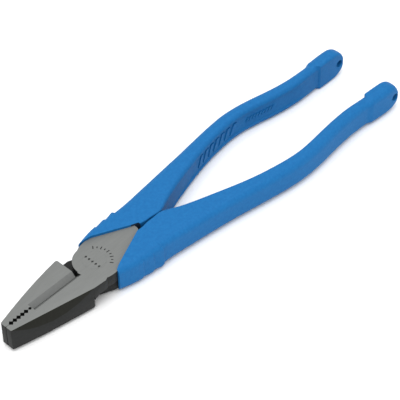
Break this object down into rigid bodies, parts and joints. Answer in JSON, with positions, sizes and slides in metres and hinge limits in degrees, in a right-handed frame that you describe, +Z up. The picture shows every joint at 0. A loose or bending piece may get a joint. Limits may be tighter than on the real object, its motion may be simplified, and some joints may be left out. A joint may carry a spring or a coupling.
{
  "type": "lineman pliers",
  "caption": "Lineman pliers: two forgings crossed in a lap joint on a flush rivet, with serrated flat jaws, a side cutter and moulded grips with lanyard holes.",
  "frame": {"origin": "centre of the bounding box in plan, on the resting plane under the grips", "axes": "+X from the jaws towards the grip ends, +Y across the handles, +Z up along the rivet"},
  "size_m": [0.229, 0.0496, 0.0146],
  "materials": {
    "forged_steel": "satin ground forging",
    "rivet_steel": "ground flush",
    "grip_plastic": "matte moulded vinyl"
  },
  "bodies": {
    "bottom": {"bottom_half": "forged_steel", "pivot_rivet": "rivet_steel", "bottom_half_grip": "grip_plastic"},
    "top": {"top_half": "forged_steel", "top_half_grip": "grip_plastic"}
  },
  "joints": [
    {"name": "jaw_pivot", "type": "hinge", "parent": "bottom", "child": "top", "pos_m": [-0.062, 0, 0.0073], "axis": [0, 0, 1], "range_deg": [0, 25]}
  ]
}
